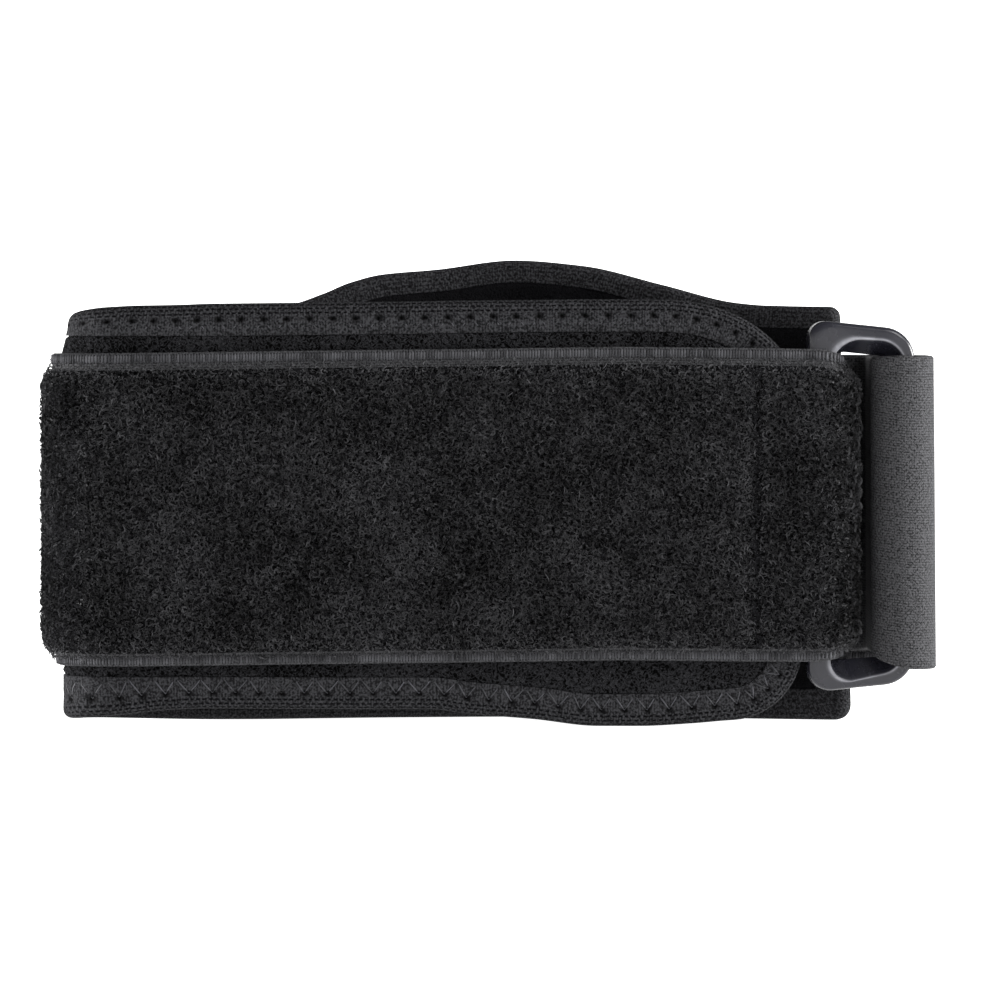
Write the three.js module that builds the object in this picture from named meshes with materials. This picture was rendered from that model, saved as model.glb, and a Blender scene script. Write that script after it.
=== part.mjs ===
// A tennis elbow support: a padded cuff left open at one side, mesh tape sewn over its edge, and a
// loop-pile strap laid round it, pulled through a plastic ring and folded back on itself.
// Millimetres. +Z is along the arm, -Y is the front, +X is the side with the ring.
import * as THREE from 'three';
import { mergeVertices } from 'three/addons/utils/BufferGeometryUtils.js';

const GAP = 0.3; // air between neighbouring pieces

// Pad: foam between two cloths, thinner where the tape presses it.
const PAD = 4.2;
const PAD_PRESSED = 2.4;
const PAD_RAMP = 1.5; // from pressed to full thickness

// Edge tape: a strip folded over the edge.
const TAPE = 0.6;
const TAPE_OUT = 5.2; // how far it reaches over the outside
const TAPE_IN = 3.6; // and over the inside

// Plan of the pad's middle: straight front, tight fold at the left, bowed rear.
const FRONT_END = 50.8;
const FOLD_AT = -60.2;
const FOLD_RADIUS = 6.5;
const FOLD_LEAVES = 105; // degrees round from +X where the fold runs into the rear
const FOLD_TUCK = 1.8; // how far the fold's top leans in
const TUCK_FROM = 60; // height that it starts at
const REAR_PLAN = [
  // x, y
  [-40, 18.9],
  [-18, 24.4],
  [5, 27],
  [30, 24.7],
  [58.3, 17.5],
];

// Outline of the pad with its tape, unrolled from the front end round the fold to the rear end.
const OUTLINE = [
  // along, top, bottom
  [0, 68.6, 1.2],
  [10.2, 68.6, 1.0],
  [18.2, 68.6, 0.4],
  [26, 68.7, 0],
  [33, 68.7, 0],
  [43.3, 68.6, 1.1],
  [54.4, 68.5, 2.0],
  [60, 68.4, 2.7],
  [76.1, 68.2, 2.7],
  [95.5, 68, 2.8],
  [101.9, 67.8, 2.6],
  [108.3, 67.7, 1.9],
  [114, 67.4, 1.4],
  [121, 66.7, 0.9],
  [131, 66.6, 0.6],
  [148, 67.2, 0.1],
  [160, 67.8, 0],
  [166, 69.6, 0],
  [170.4, 71.4, 0],
  [176, 72.8, 0],
  [185, 73.6, 0],
  [197.7, 75.1, 0],
  [209, 74.2, 0],
  [222, 71.1, 0],
  [234, 68.2, 0],
  [240, 67.7, 0],
  [252.6, 67.5, 0],
];
const FRONT_CORNERS = { top: [22, 17.5], bottom: [11.3, 12] }; // along, up
const REAR_CORNERS = { top: [1.6, 1.6], bottom: [2.4, 2.4] };
const REAR_LEAN = 1; // the rear end's foot reaches this much further, and its top this much less

// Strap: woven base with a pile, and bare ribbed selvages.
const STRAP_BASE = 1.4;
const STRAP_WIDTH = 50.4;
const WIDTH_AT_BAR = 49.6; // drawn in between the ring's corners
const PILE = 1.9;
const PILE_AT_BAR = 1.6; // pressed against the ring
const PILE_AT_HOOKS = 0.4; // flattened under the hook tape
const SELVAGE = 2;
const STRAP_OFF = 2.5; // from the pad's middle to the strap's woven back
const SEWN_BACK_TO = 41; // where the end folded round the ring stops
const SLOT_BEND = 3.3; // radius of the woven back as it turns forward into the ring
const TAIL_BEND = 9; // and as it turns back out of the ring
const TAIL = 58; // length of the free end along the rear

// Hook tape on the free end.
const HOOK = 1.2;
const HOOK_LENGTH = 30;
const HOOK_WIDTH = 45;
const HOOK_FROM_END = 4;

// Ring: corners of the line along the middle of its bar, and its bar's half width there.
const RING = [
  // x, z, corner radius, half width
  [53.5, 63.6, 3.2, 2.1],
  [66.95, 61.5, 2.4, 1.8],
  [66.85, 9.2, 2.4, 1.8],
  [53.6, 7.4, 3.0, 2.1],
];
const RING_HALF_DEPTH = 1.9;
const LEFT_BAR = new THREE.Vector2(53.5, 0);
const RIGHT_BAR = new THREE.Vector2(66.85, 2);

const DEG = Math.PI / 180;
const v2 = (x, y) => new THREE.Vector2(x, y);

const midline = new THREE.CurvePath();
const fold = new THREE.EllipseCurve(
  FOLD_AT, FOLD_RADIUS, FOLD_RADIUS, FOLD_RADIUS, -90 * DEG, FOLD_LEAVES * DEG, true,
);
midline.add(new THREE.LineCurve(v2(FRONT_END, 0), v2(FOLD_AT, 0)));
midline.add(fold);
midline.add(new THREE.SplineCurve([fold.getPoint(1), ...REAR_PLAN.map(([x, y]) => v2(x, y))]));
const LENGTH = midline.getLength();

// Place, heading and outward normal of the pad's middle, with straight run-outs past both ends.
function planAt(along) {
  const u = THREE.MathUtils.clamp(along / LENGTH, 0, 1);
  const heading = midline.getTangent(u);
  const place = midline.getPoint(u).addScaledVector(heading, along - u * LENGTH);
  return { place, heading, out: v2(-heading.y, heading.x) };
}

// Columns of a table at a value of its first column, smooth and never past the rows beside it.
function smooth(rows, at) {
  const next = rows.findIndex((row) => row[0] > at);
  const k = next < 0 ? rows.length - 1 : Math.max(next, 1);
  const span = rows[k][0] - rows[k - 1][0];
  const t = THREE.MathUtils.clamp((at - rows[k - 1][0]) / span, 0, 1);
  const rise = (i, c) => (rows[i + 1][c] - rows[i][c]) / (rows[i + 1][0] - rows[i][0]);
  const slope = (i, c) => {
    if (i === 0 || i === rows.length - 1) return 0;
    const before = rise(i - 1, c);
    const after = rise(i, c);
    return before * after > 0 ? (2 * before * after) / (before + after) : 0;
  };
  return rows[k].slice(1).map((end, i) => {
    const c = i + 1;
    const start = rows[k - 1][c];
    return (
      start * (1 + 2 * t) * (1 - t) ** 2 + slope(k - 1, c) * span * t * (1 - t) ** 2 +
      end * t * t * (3 - 2 * t) + slope(k, c) * span * t * t * (t - 1)
    );
  });
}

const cut = (from, [along, up]) =>
  from >= along ? 0 : up * (1 - Math.sqrt(1 - ((along - from) / along) ** 2));

function edgesAt(along) {
  const [top, bottom] = smooth(OUTLINE, along);
  const left = LENGTH - along;
  return {
    top: top - cut(along, FRONT_CORNERS.top) - cut(left, REAR_CORNERS.top),
    bottom: bottom + cut(along, FRONT_CORNERS.bottom) + cut(left, REAR_CORNERS.bottom),
  };
}

// Stations along the pad, closer at its rounded ends and round the fold.
function stations() {
  const list = [];
  for (let a = 0; a < 90; a += 10) list.push(FRONT_CORNERS.top[0] * (1 - Math.cos(a * DEG)));
  const foldStart = FRONT_END - FOLD_AT;
  const foldEnd = foldStart + fold.getLength();
  for (let s = FRONT_CORNERS.top[0]; s < foldStart - 1; s += 5) list.push(s);
  for (let k = 0; k < 10; k++) list.push(foldStart + (k * (foldEnd - foldStart)) / 10);
  for (let s = foldEnd; s < LENGTH - 10; s += 4) list.push(s);
  for (const s of [8.5, 7, 5.6, 4, 3]) list.push(LENGTH - s);
  for (let a = 90; a >= 0; a -= 22.5) list.push(LENGTH - REAR_CORNERS.bottom[0] * (1 - Math.cos(a * DEG)));
  return list;
}

const STATIONS = stations();
const END_STEPS = 6;

// The outline as one loop: top to the rear, down the rear end, bottom to the front, up the front end.
function outlineLoop() {
  const top = STATIONS.map((s) => v2(s, edgesAt(s).top));
  const bottom = STATIONS.map((s) => v2(s, edgesAt(s).bottom));
  const between = (a, b) =>
    Array.from({ length: END_STEPS - 1 }, (_, k) => a.clone().lerp(b, (k + 1) / END_STEPS));
  return [
    ...top, ...between(top.at(-1), bottom.at(-1)),
    ...bottom.toReversed(), ...between(bottom[0], top[0]),
  ];
}

const LOOP = outlineLoop();
const INWARD = LOOP.map((_, k) => {
  const t = LOOP[(k + 1) % LOOP.length].clone().sub(LOOP.at(k - 1)).normalize();
  return v2(t.y, -t.x);
});

// A point of the outline moved inward; past the radius of the rear corners it meets in a mitre.
function inset(k, by) {
  const p = LOOP[k].clone().addScaledVector(INWARD[k], by);
  if (by > REAR_CORNERS.bottom[0] && LOOP[k].x > LENGTH - by) p.x = LENGTH - by;
  const [top, bottom] = smooth(OUTLINE, p.x);
  p.y = THREE.MathUtils.clamp(p.y, bottom + by, top - by);
  return p;
}

function fromOutline(p) {
  const near = new THREE.Vector3();
  return Math.min(...LOOP.map((a, k) => {
    const b = LOOP[(k + 1) % LOOP.length];
    new THREE.Line3(new THREE.Vector3(a.x, a.y, 0), new THREE.Vector3(b.x, b.y, 0))
      .closestPointToPoint(new THREE.Vector3(p.x, p.y, 0), true, near);
    return Math.hypot(near.x - p.x, near.y - p.y);
  }));
}

// From the unrolled sheet to its place round the arm.
function onPad(p, off) {
  const near = THREE.MathUtils.smoothstep(p.x, LENGTH - 25, LENGTH);
  const { place, out } = planAt(p.x - REAR_LEAN * near * (p.y / 34 - 1));
  const high = Math.max(0, (p.y - TUCK_FROM) / (OUTLINE[0][1] - TUCK_FROM));
  const tuck = FOLD_TUCK * high * (1 - THREE.MathUtils.smoothstep(place.x, FOLD_AT - FOLD_RADIUS, FOLD_AT + 25));
  return new THREE.Vector3(place.x + out.x * off + tuck, place.y + out.y * off, p.y);
}

// A solid through sections of equal point counts: a ring without profiles, else capped by them.
function loft(sections, profiles) {
  const n = sections[0].length;
  const faces = [];
  const spans = profiles ? sections.length - 1 : sections.length;
  for (let i = 0; i < spans; i++) {
    for (let k = 0; k < n; k++) {
      const a = i * n + k;
      const b = i * n + ((k + 1) % n);
      const c = ((i + 1) % sections.length) * n + k;
      const d = ((i + 1) % sections.length) * n + ((k + 1) % n);
      faces.push([a, b, d], [a, d, c]);
    }
  }
  if (profiles) {
    // Triangles of a profile, in the order of its points.
    const cap = (profile) => {
      const turn = Math.sign(THREE.ShapeUtils.area(profile));
      return THREE.ShapeUtils.triangulateShape(profile, []).map((f) =>
        Math.sign(THREE.ShapeUtils.area(f.map((i) => profile[i]))) === turn ? f : f.toReversed());
    };
    const last = (sections.length - 1) * n;
    for (const f of cap(profiles[0])) faces.push(f.toReversed());
    for (const f of cap(profiles[1])) faces.push(f.map((i) => last + i));
  }
  const shape = new THREE.BufferGeometry().setFromPoints(sections.flat());
  shape.setIndex(faces.flat());
  return closed(mergeVertices(shape, 1e-4));
}

// Without collapsed triangles, and facing out.
function closed(shape) {
  const at = (i) => new THREE.Vector3().fromBufferAttribute(shape.getAttribute('position'), i);
  const index = shape.getIndex().array;
  const kept = [];
  let volume = 0;
  for (let i = 0; i < index.length; i += 3) {
    const [a, b, c] = index.slice(i, i + 3);
    if (a === b || b === c || c === a) continue;
    kept.push([a, b, c]);
    volume += at(a).dot(at(b).cross(at(c)));
  }
  shape.setIndex(kept.flatMap((f) => (volume < 0 ? f.toReversed() : f)));
  shape.computeVertexNormals();
  return shape;
}

function bodyPad() {
  const edge = TAPE + GAP;
  const half = (p, reach) =>
    PAD_PRESSED / 2 + ((PAD - PAD_PRESSED) / 2) *
      THREE.MathUtils.smoothstep(fromOutline(p), reach + GAP, reach + GAP + PAD_RAMP);
  const face = (top, bottom, reach) => {
    const long = top.distanceTo(bottom);
    const steps = [0, 0.5, reach + GAP - edge, reach + GAP + PAD_RAMP - edge];
    const depths = [...steps, long / 2, ...steps.toReversed().map((d) => long - d)];
    return depths.map((d) => {
      const p = top.clone().lerp(bottom, d / long);
      const rim = d === 0 || d === long ? 0.3 : 0;
      return { p, off: half(p, reach) - rim };
    });
  };
  const sections = [];
  const profiles = [];
  STATIONS.forEach((_, i) => {
    const top = inset(i, edge);
    const bottom = inset(2 * STATIONS.length + END_STEPS - 2 - i, edge);
    const ring = [
      ...face(top, bottom, TAPE_OUT),
      ...face(top, bottom, TAPE_IN).toReversed().map(({ p, off }) => ({ p, off: -off })),
    ];
    sections.push(ring.map(({ p, off }) => onPad(p, off)));
    profiles.push(ring.map(({ p, off }) => v2(off, p.y)));
  });
  return loft(sections, [profiles[0], profiles.at(-1)]);
}

function edgeBinding() {
  const out = PAD / 2;
  const inner = out - TAPE;
  const section = [
    // in from the edge, off the pad's middle
    [TAPE_OUT, out], [0.5, out], [0, out - 0.6], [0, 0.6 - out], [0.5, -out], [TAPE_IN, -out],
    [TAPE_IN, -inner], [TAPE, -inner], [TAPE, inner], [TAPE_OUT, inner],
  ];
  return loft(LOOP.map((_, k) => section.map(([by, off]) => onPad(inset(k, by), off))), null);
}

// Runs of the strap's woven back in plan, as places and the side that its pile is on.
function alongPad(off, from, to, steps) {
  return Array.from({ length: steps + 1 }, (_, k) => {
    const { place, out } = planAt(from + ((to - from) * k) / steps);
    return { place: place.addScaledVector(out, off), pile: to > from ? out : out.negate() };
  });
}

function bend(centre, radius, from, to, steps, pileOutside) {
  return Array.from({ length: steps + 1 }, (_, k) => {
    const a = from + ((to - from) * k) / steps;
    const ray = v2(Math.cos(a), Math.sin(a));
    return { place: centre.clone().addScaledVector(ray, radius), pile: pileOutside ? ray : ray.negate() };
  });
}

function strapRuns() {
  const thick = STRAP_BASE + PILE;
  const end = planAt(LENGTH);
  const turn = end.out.angle();
  const barBack = RING_HALF_DEPTH + GAP + PILE_AT_BAR + STRAP_BASE;
  const tailOff = STRAP_OFF + 2 * thick + GAP;
  // Centre of a bend that leaves the rear at `off` and meets the upright line at x.
  const centreFor = (off, radius, x) => {
    const c = end.place.clone().addScaledVector(end.out, off - radius);
    return c.addScaledVector(end.heading, (x - radius - c.x) / end.heading.x);
  };
  const slot = centreFor(STRAP_OFF, SLOT_BEND, RIGHT_BAR.x - barBack);
  const tail = centreFor(tailOff, TAIL_BEND, RIGHT_BAR.x + barBack);
  const past = tail.clone().sub(end.place).dot(end.heading);
  const hooksEnd = LENGTH - TAIL + HOOK_FROM_END;
  const foldStart = FRONT_END - FOLD_AT;
  const W = STRAP_WIDTH;
  return [
    // stations, then middle height, width and pile from the start of the run to its end
    [[{ place: v2(SEWN_BACK_TO, STRAP_OFF), pile: v2(0, 1) }], [35.6, 35.6], [W, W], [PILE, PILE]],
    [bend(LEFT_BAR, STRAP_OFF, Math.PI / 2, -Math.PI / 2, 12, true), [35.5, 35.5], [WIDTH_AT_BAR, WIDTH_AT_BAR],
      [PILE, PILE]],
    [alongPad(STRAP_OFF, 8, 29.5, 2), [35.7, 35.9], [W, W], [PILE, PILE]],
    [alongPad(STRAP_OFF, 50, 85, 2), [35.6, 35.2], [W, W], [PILE, PILE]],
    [alongPad(STRAP_OFF, foldStart - 4, foldStart + fold.getLength() + 3, 18), [34.9, 34.7], [W, W], [PILE, PILE]],
    [alongPad(STRAP_OFF, 140, LENGTH - 3, 18), [34.7, 35.3], [W, W], [PILE, PILE]],
    [bend(slot, SLOT_BEND, turn, 0, 7, true), [35.4, 35.5], [W, 48.6], [PILE, PILE]],
    [bend(RIGHT_BAR, barBack, Math.PI, 1.5 * Math.PI, 7, false), [35.5, 34.5], [48.4, W], [PILE_AT_BAR, PILE_AT_BAR]],
    [bend(RIGHT_BAR, barBack, 1.625 * Math.PI, 2 * Math.PI, 6, false), [34.4, 34.4], [W, W], [PILE_AT_BAR, PILE_AT_BAR]],
    [bend(tail, TAIL_BEND, 0, turn, 8, false), [34.4, 34.4], [W, W], [PILE, PILE]],
    [alongPad(tailOff, LENGTH + past - 2, hooksEnd + HOOK_LENGTH + 3, 4), [34.4, 34.5], [W, W], [PILE, PILE]],
    [alongPad(tailOff, hooksEnd + HOOK_LENGTH + 1, LENGTH - TAIL + 6, 7), [34.5, 34.6], [W, W],
      [PILE_AT_HOOKS, PILE_AT_HOOKS]],
    [alongPad(tailOff, LENGTH - TAIL + 3, LENGTH - TAIL, 2), [34.6, 34.6], [W - 2, W - 12],
      [PILE_AT_HOOKS, PILE_AT_HOOKS]],
  ];
}

function loopStrap() {
  const sections = [];
  const profiles = [];
  for (const [run, middle, width, pile] of strapRuns()) {
    run.forEach(({ place, pile: side }, k) => {
      const t = run.length > 1 ? k / (run.length - 1) : 0;
      const [mid, wide, high] = [middle, width, pile].map(([a, b]) => a + (b - a) * t);
      const half = [
        // from the strap's middle, off its woven back
        [wide / 2, 0], [wide / 2, STRAP_BASE], [wide / 2 - SELVAGE, STRAP_BASE],
        [wide / 2 - SELVAGE - 0.3, STRAP_BASE + 0.7 * high], [wide / 2 - SELVAGE - 1.2, STRAP_BASE + high],
      ];
      const profile = [...half, ...half.toReversed().map(([w, off]) => [-w, off])];
      sections.push(profile.map(([w, off]) =>
        new THREE.Vector3(place.x + side.x * off, place.y + side.y * off, mid + w)));
      profiles.push(profile.map(([w, off]) => v2(w, off)));
    });
  }
  return loft(sections, [profiles[0], profiles.at(-1)]);
}

function hookTab() {
  const inside = STRAP_OFF + STRAP_BASE + PILE + GAP;
  const from = LENGTH - TAIL + HOOK_FROM_END;
  const sections = [];
  const profiles = [];
  for (let k = 0; k <= 10; k++) {
    const s = from + (HOOK_LENGTH * k) / 10;
    const { place, out } = planAt(s);
    const wide = k === 0 || k === 10 ? HOOK_WIDTH - 2 : HOOK_WIDTH;
    const profile = [[wide / 2, 0], [wide / 2, HOOK], [-wide / 2, HOOK], [-wide / 2, 0]];
    sections.push(profile.map(([w, off]) => new THREE.Vector3(
      place.x + out.x * (inside + off), place.y + out.y * (inside + off), 34.6 + w)));
    profiles.push(profile.map(([w, off]) => v2(w, off)));
  }
  return loft(sections, [profiles[0], profiles.at(-1)]);
}

function pullRing() {
  const CORNER_STEPS = 6;
  const BAR_STEPS = 5;
  const SIDES = 14;
  const path = [];
  RING.forEach(([x, z, radius, half], k) => {
    const here = v2(x, z);
    const toPrev = v2(RING.at(k - 1)[0], RING.at(k - 1)[1]).sub(here).normalize();
    const next = RING[(k + 1) % RING.length];
    const toNext = v2(next[0], next[1]).sub(here);
    const bar = toNext.length();
    toNext.normalize();
    const opening = Math.acos(toPrev.dot(toNext));
    const back = radius / Math.tan(opening / 2);
    const centre = toPrev.clone().add(toNext).normalize().multiplyScalar(radius / Math.sin(opening / 2)).add(here);
    const first = here.clone().addScaledVector(toPrev, back).sub(centre);
    const sweep = -(Math.PI - opening);
    for (let i = 0; i <= CORNER_STEPS; i++) {
      path.push({ at: first.clone().rotateAround(v2(0, 0), (sweep * i) / CORNER_STEPS).add(centre), half });
    }
    for (let i = 1; i < BAR_STEPS; i++) {
      const t = i / BAR_STEPS;
      path.push({ at: here.clone().addScaledVector(toNext, back + (bar - 2 * back) * t), half: half + (next[3] - half) * t });
    }
  });
  const slope = (RIGHT_BAR.y - LEFT_BAR.y) / (RIGHT_BAR.x - LEFT_BAR.x);
  const through = new THREE.Vector3(slope, -1, 0).normalize();
  const placed = path.map(({ at }) => new THREE.Vector3(at.x, LEFT_BAR.y + slope * (at.x - LEFT_BAR.x), at.y));
  return loft(placed.map((p, k) => {
    const along = placed[(k + 1) % placed.length].clone().sub(placed.at(k - 1)).normalize();
    const side = along.clone().cross(through).normalize();
    return Array.from({ length: SIDES }, (_, i) => {
      const a = (2 * Math.PI * i) / SIDES;
      return p.clone().addScaledVector(side, path[k].half * Math.cos(a))
        .addScaledVector(through, RING_HALF_DEPTH * Math.sin(a));
    });
  }), null);
}

const group = new THREE.Group();
group.name = 'tennis_elbow_support';
for (const [name, shape, colour] of [
  ['body_pad', bodyPad(), 0x242424],
  ['edge_binding', edgeBinding(), 0x3a3a3c],
  ['loop_strap', loopStrap(), 0x1c1c1c],
  ['pull_ring', pullRing(), 0x101010],
  ['hook_tab', hookTab(), 0x2c2c2c],
]) {
  const mesh = new THREE.Mesh(shape, new THREE.MeshStandardMaterial({ color: colour, roughness: 0.9 }));
  mesh.name = name;
  group.add(mesh);
}

// The origin is under the middle of the whole, on the floor.
const whole = new THREE.Box3().setFromObject(group);
const middle = whole.getCenter(new THREE.Vector3());
group.position.set(-middle.x, -middle.y, -whole.min.z);

export default group;
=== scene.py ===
"""A tennis elbow support: padded cuff, mesh-tape edge, loop-pile strap and plastic ring (Blender 4.5).

Shapes are worked out in millimetres, with +Z along the arm, -Y the front and +X the ring's side. Each
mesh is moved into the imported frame, in metres, when it is made.
"""
import math

import bmesh
import bpy
import numpy as np
from mathutils.kdtree import KDTree
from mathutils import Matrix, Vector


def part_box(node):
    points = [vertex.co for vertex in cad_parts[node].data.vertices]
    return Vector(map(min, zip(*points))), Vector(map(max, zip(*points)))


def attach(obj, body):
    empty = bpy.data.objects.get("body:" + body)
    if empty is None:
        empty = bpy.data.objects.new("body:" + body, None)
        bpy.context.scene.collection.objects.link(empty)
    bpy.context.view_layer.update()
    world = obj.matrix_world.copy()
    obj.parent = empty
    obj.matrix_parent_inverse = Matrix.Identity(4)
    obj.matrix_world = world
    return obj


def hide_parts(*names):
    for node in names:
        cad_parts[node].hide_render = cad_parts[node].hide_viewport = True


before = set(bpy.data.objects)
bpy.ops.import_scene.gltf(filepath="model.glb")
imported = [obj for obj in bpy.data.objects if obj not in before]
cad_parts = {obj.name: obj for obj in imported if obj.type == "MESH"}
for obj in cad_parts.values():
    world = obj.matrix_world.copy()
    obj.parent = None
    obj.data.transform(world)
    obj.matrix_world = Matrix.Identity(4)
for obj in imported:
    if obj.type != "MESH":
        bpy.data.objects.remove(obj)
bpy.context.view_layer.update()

MM = 0.001
BODY = "root"

# Photograph: its scale on the cuff's front plane, and the camera that sees it so.
PIXEL = 0.161
IMAGE_SIDE = 1000
CAMERA_DISTANCE = 1200
CAMERA_PITCH = 1.5
CAMERA_AIM = (2.01, 0, 36.39)
SENSOR = 36

# Studio, in metres: a floor and a low wall that read as white, under a dim sky. Lamps: place, size, watts.
STAGE_RADIUS = 4.0
STAGE_WALL = 1.2
STAGE_GLOW = 1.0
WORLD_LIGHT = 0.25
LAMP_AIM = np.array((0, 0, 0.035))
LAMPS = {
    "key": ((0.9, -0.7, 0.9), 0.5, 10),
    "right": ((1.3, -0.1, 0.35), 0.45, 37),
    "left": ((-1.3, 0.05, 0.1), 0.2, 32),
}

# Pad: foam between two cloths, thinner where the tape presses it; then the steps of its outline.
PAD = 4.2
PAD_PRESSED = 2.9
PAD_RAMP = 0.3
PAD_EDGE = 0.9
PAD_STEP = 1.1
PAD_COLUMNS = 46
PAD_CUT = 0.3
PAD_CUT_WIDTH = 0.5
PAD_WAVE = 0.1
PAD_WAVE_SIZE = 7
PAD_WAVE_FROM = 3
OUTLINE_STEP = 0.3
END_STEPS = 58

# Edge tape: a strip folded over the pad's edge, with a net along its fold.
TAPE = 0.6
TAPE_OUT = 5.2
TAPE_IN = 3.6
TAPE_ROUND = 1.4
TAPE_FLAT = 0.6
TAPE_STEPS = 9
TAPE_WAVE = 0.07
TAPE_WAVE_SIZE = 6
NET_PITCH = 1.0
NET_ROW = 0.7
NET_SHORT = 0.4
NET_FADE = 0.15
NET_CLOSER = 0.45
NET_CLOSER_FROM = 1.5
WALE = 0.45

# Where the tape is wider: beside the fold, as its edge runs straight on, and inside, low at the rear end.
STRAIGHT_FROM = 95.5
STRAIGHT_FADE = 20
REAR_TURN = 9
REAR_WIDER = 1.5
REAR_WIDER_BELOW = (14.5, 29.5)
REAR_WIDER_FROM = (50, 30)

# Zigzag seam through tape and pad: rows of needle holes, and the thread between them.
ZIGZAG_PITCH = 3.7
ZIGZAG_OUTER = 2.6
ZIGZAG_INNER = 5.0
THREAD = 0.2
THREAD_SUNK = 0.02
THREAD_DEEPER = 0.17
THREAD_DIP = 0.5
THREAD_RISE = 0.66
HOLE_DEPTH = 0.44
HOLE_SIZE = 0.26
HOLE_LONG = 1.4
HOLE_DARK = 1.6
TIP_DEPTH = 0.2
TIP_SIZE = 0.32
GROOVE_DEPTH = 0.07
GROOVE_SIZE = 0.24
PUCKER = 0.12
PUCKER_AT = 1.7
PUCKER_SIZE = 0.9

# Plan of the pad's middle: straight front, tight fold at the left, bowed rear.
FRONT_END = 50.8
FOLD_AT = -60.2
FOLD_RADIUS = 6.5
FOLD_LEAVES = 105
FOLD_TUCK = 1.8
TUCK_FROM = 60
TUCK_TO = FOLD_AT + 25
REAR_PLAN = [(-40, 18.9), (-18, 24.4), (5, 27), (30, 24.7), (58.3, 17.5)]

# Outline of the pad with its tape, unrolled from the front end round the fold: along, top, bottom.
OUTLINE = [
    (0, 68.6, 1.2), (10.2, 68.6, 1.0), (18.2, 68.6, 0.4), (26, 68.7, 0), (33, 68.7, 0),
    (43.3, 68.6, 1.1), (54.4, 68.5, 2.0), (60, 68.4, 2.7), (76.1, 68.2, 2.7), (95.5, 68, 2.8),
    (101.9, 67.8, 2.6), (108.3, 67.7, 1.9), (114, 67.4, 1.4), (121, 66.7, 0.9), (131, 66.6, 0.6),
    (148, 67.2, 0.1), (160, 67.8, 0), (166, 69.6, 0), (170.4, 71.4, 0), (176, 72.8, 0),
    (185, 73.6, 0), (197.7, 75.1, 0), (209, 74.2, 0), (222, 71.1, 0), (234, 68.2, 0),
    (240, 67.7, 0), (252.6, 67.5, 0),
]
FRONT_TOP_CORNER = (22, 17.5)
FRONT_BOTTOM_CORNER = (11.3, 12)
REAR_TOP_CORNER = (1.6, 1.6)
REAR_BOTTOM_CORNER = (2.4, 2.4)
REAR_LEAN = 1
REAR_LEAN_FROM = 25
REAR_MIDDLE = 34

# Strap: woven base with a pile, and bare ribbed selvages.
STRAP_BASE = 1.4
STRAP_WIDTH = 50.4
STRAP_MIDDLE = 34.5
STRAP_OFF = 2.5
STRAP_STEP = 0.8
STRAP_COLUMNS = 46
RUN_STEP = 0.5
WEFT = 0.42
WIDTH_AT_BAR = 48.4
WIDTH_IN_SLOT = 47.8
SEWN_BACK_TO = 41
SLOT_BEND = 3.3
TAIL_BEND = 9
TAIL = 58
TAIL_COVERS = 2
GAP = 0.3
SELVAGE = 2
SELVAGE_SUNK = 0.15
STRAP_ROUND = 0.35
STRAP_ROUND_WIDTH = 0.4
RIB_PITCH = 0.46
RIB_LENGTH = 1.9
RIB_WIDTH = 0.5
RIB_HEIGHT = 0.4
RIB_SUNK = 0.12
RIB_FROM_EDGE = 0.05
EDGE_DRAWN = 0.8
EDGE_DRAWN_WIDTH = 6
EDGE_DRAWN_TO = FOLD_AT + 6
UNDER_STRAP = (-0.5, 1.5)
RIGHT_SLANT = 0.009
SLANT_FROM = 12
SLANT_PAST_BAR = 4

# Columns of the strap's table: place and pile side in plan, middle height, width and pile.
PLACE, SIDE, MIDDLE, WIDTH, LOOPS = slice(0, 2), slice(2, 4), slice(4, 5), slice(5, 6), slice(6, 7)

# Pile on a raised ground, thin at the selvages and along the sewn line: curls of fibre, drawn as coarse as
# they need to be to show. Each curl's shape is its sweep in radians and its radius.
PILE = 1.9
PILE_AT_BAR = 1.6
PILE_ROUND_BAR = 2.8
PILE_AT_HOOKS = 0.4
PILE_RISE = 3.1
PILE_OVERLAP = 1.0
PILE_LEAST = 0.35
PILE_LEANS = 1.1
THIN_LIGHTER = 0.9
SEAM_AT = 43.3
SEAM_WIDTH = 0.7
SEAM_DEPTH = 0.45
PILE_COLUMNS = 40
CURLS_AT = 0.7
CURL_SPACING = 0.2
CURL_WIDTH = 0.16
CURL_TILT = 1.1
CURL_GROWTH = (0.75, 1.2)
CURL_LEAST = 0.4
CURL_SHAPES = ((3.6, 0.36), (2.6, 0.48), (4.2, 0.3), (1.8, 0.68))
GROUND = 0.42
GROUND_AT_FOLD = 0.25
GROUND_LUMPS = 0.05
BARE_GROUND = 0.85
BARE_LUMPS = 0.07
LUMP_SIZE = 2.2
GROUND_EDGE = (SELVAGE + 0.3, SELVAGE + 2.4)
GROUND_COLUMNS = slice(7, -9)

# Hook tape on the free end.
HOOK = 1.2
HOOK_LENGTH = 30
HOOK_WIDTH = 45
HOOK_FROM_END = 4
HOOK_MIDDLE = 34.6
HOOK_ROUND = 0.3
HOOK_ROUND_WIDTH = 0.8

# Ring: corners of three lines round it, seen from the front: x, z, radius.
RING_OUTER = [(51.5, 65.5, 2.8), (68.65, 63.7, 5.2), (68.65, 7.0, 5.2), (51.5, 5.4, 3.6)]
RING_RIM = [(54.9, 62.5, 5.0), (66.9, 61.9, 4.2), (66.7, 9.2, 4.0), (54.9, 6.5, 3.2)]
RING_INNER = [(55.6, 60.3, 1.8), (65.1, 59.3, 2.4), (65.1, 11.3, 2.4), (55.6, 10.7, 1.8)]
RING_HALF_DEPTH = 1.9

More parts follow.
